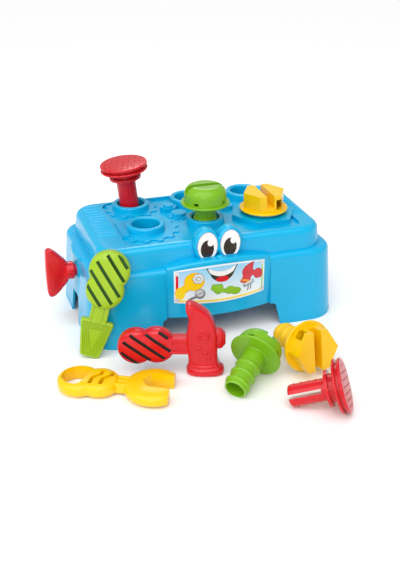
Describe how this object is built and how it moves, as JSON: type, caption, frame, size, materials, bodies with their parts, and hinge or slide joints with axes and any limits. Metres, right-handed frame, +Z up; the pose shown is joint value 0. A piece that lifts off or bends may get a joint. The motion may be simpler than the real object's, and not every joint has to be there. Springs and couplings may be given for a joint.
{
  "type": "toy workbench",
  "caption": "Toddler's hollow plastic toy workbench with peg holes, a turning vise knob, push-in nails, screws and bolts, and three chunky tools.",
  "frame": {"origin": "bottom centre of the box around the whole set, on the floor", "axes": "+X to the bench's right, +Y towards its back, +Z up; the label faces -Y"},
  "size_m": [0.408, 0.4645, 0.2002],
  "materials": {
    "bench_blue": "glossy moulded polypropylene, sky blue",
    "label_print": "printed vinyl sticker",
    "eye_print": "printed vinyl sticker, white and black",
    "red_plastic": "glossy moulded plastic, red",
    "green_plastic": "semi-gloss moulded plastic, leaf green",
    "lime_plastic": "semi-gloss moulded plastic, lime green",
    "yellow_plastic": "semi-gloss moulded plastic, yellow",
    "washer_steel": "zinc plated",
    "screw_steel": "zinc plated"
  },
  "bodies": {
    "bench": {"bench_shell": "bench_blue", "face_label": "label_print", "eye_decal_left": "eye_print", "eye_decal_right": "eye_print"},
    "knob": {"vise_knob": "red_plastic", "knob_washer": "washer_steel", "knob_screw": "screw_steel"},
    "raised_nail": {"raised_nail_body": "red_plastic", "raised_nail_cap": "red_plastic"},
    "raised_screw": {"raised_screw_body": "green_plastic", "raised_screw_cap": "green_plastic"},
    "seated_bolt": {"seated_bolt_body": "yellow_plastic", "seated_bolt_cap": "yellow_plastic"},
    "loose_nail": {"loose_nail_body": "red_plastic", "loose_nail_cap": "red_plastic"},
    "loose_screw": {"loose_screw_body": "green_plastic", "loose_screw_cap": "green_plastic"},
    "loose_bolt": {"loose_bolt_body": "yellow_plastic", "loose_bolt_cap": "yellow_plastic"},
    "screwdriver": {"screwdriver_front": "lime_plastic", "screwdriver_back": "lime_plastic"},
    "hammer": {"hammer_front": "red_plastic", "hammer_back": "red_plastic"},
    "wrench": {"wrench_front": "yellow_plastic", "wrench_back": "yellow_plastic"}
  },
  "joints": [
    {"name": "knob_turn", "type": "hinge", "parent": "bench", "child": "knob", "pos_m": [-0.147, 0.1112, 0.078], "axis": [1, 0, 0], "continuous": true},
    {"name": "nail_slide", "type": "slide", "parent": "bench", "child": "raised_nail", "axis": [-0.1045, 0, 0.9945], "range_m": [-0.034, 0.075]},
    {"name": "screw_turn", "type": "hinge", "parent": "bench", "child": "raised_screw", "pos_m": [0.036, 0.0997, 0.138], "axis": [0, 0, 1], "continuous": true},
    {"name": "bolt_turn", "type": "hinge", "parent": "bench", "child": "seated_bolt", "pos_m": [0.121, 0.0997, 0.138], "axis": [0, 0, 1], "continuous": true},
    {"name": "loose_nail_lift", "type": "slide", "parent": "bench", "child": "loose_nail", "axis": [0, 0, 1], "range_m": [0, 0.15]},
    {"name": "loose_screw_lift", "type": "slide", "parent": "bench", "child": "loose_screw", "axis": [0, 0, 1], "range_m": [0, 0.15]},
    {"name": "loose_bolt_lift", "type": "slide", "parent": "bench", "child": "loose_bolt", "axis": [0, 0, 1], "range_m": [0, 0.15]},
    {"name": "screwdriver_lift", "type": "slide", "parent": "bench", "child": "screwdriver", "axis": [0, 0, 1], "range_m": [0, 0.15]},
    {"name": "hammer_lift", "type": "slide", "parent": "bench", "child": "hammer", "axis": [0, 0, 1], "range_m": [0, 0.15]},
    {"name": "wrench_lift", "type": "slide", "parent": "bench", "child": "wrench", "axis": [0, 0, 1], "range_m": [0, 0.15]}
  ]
}
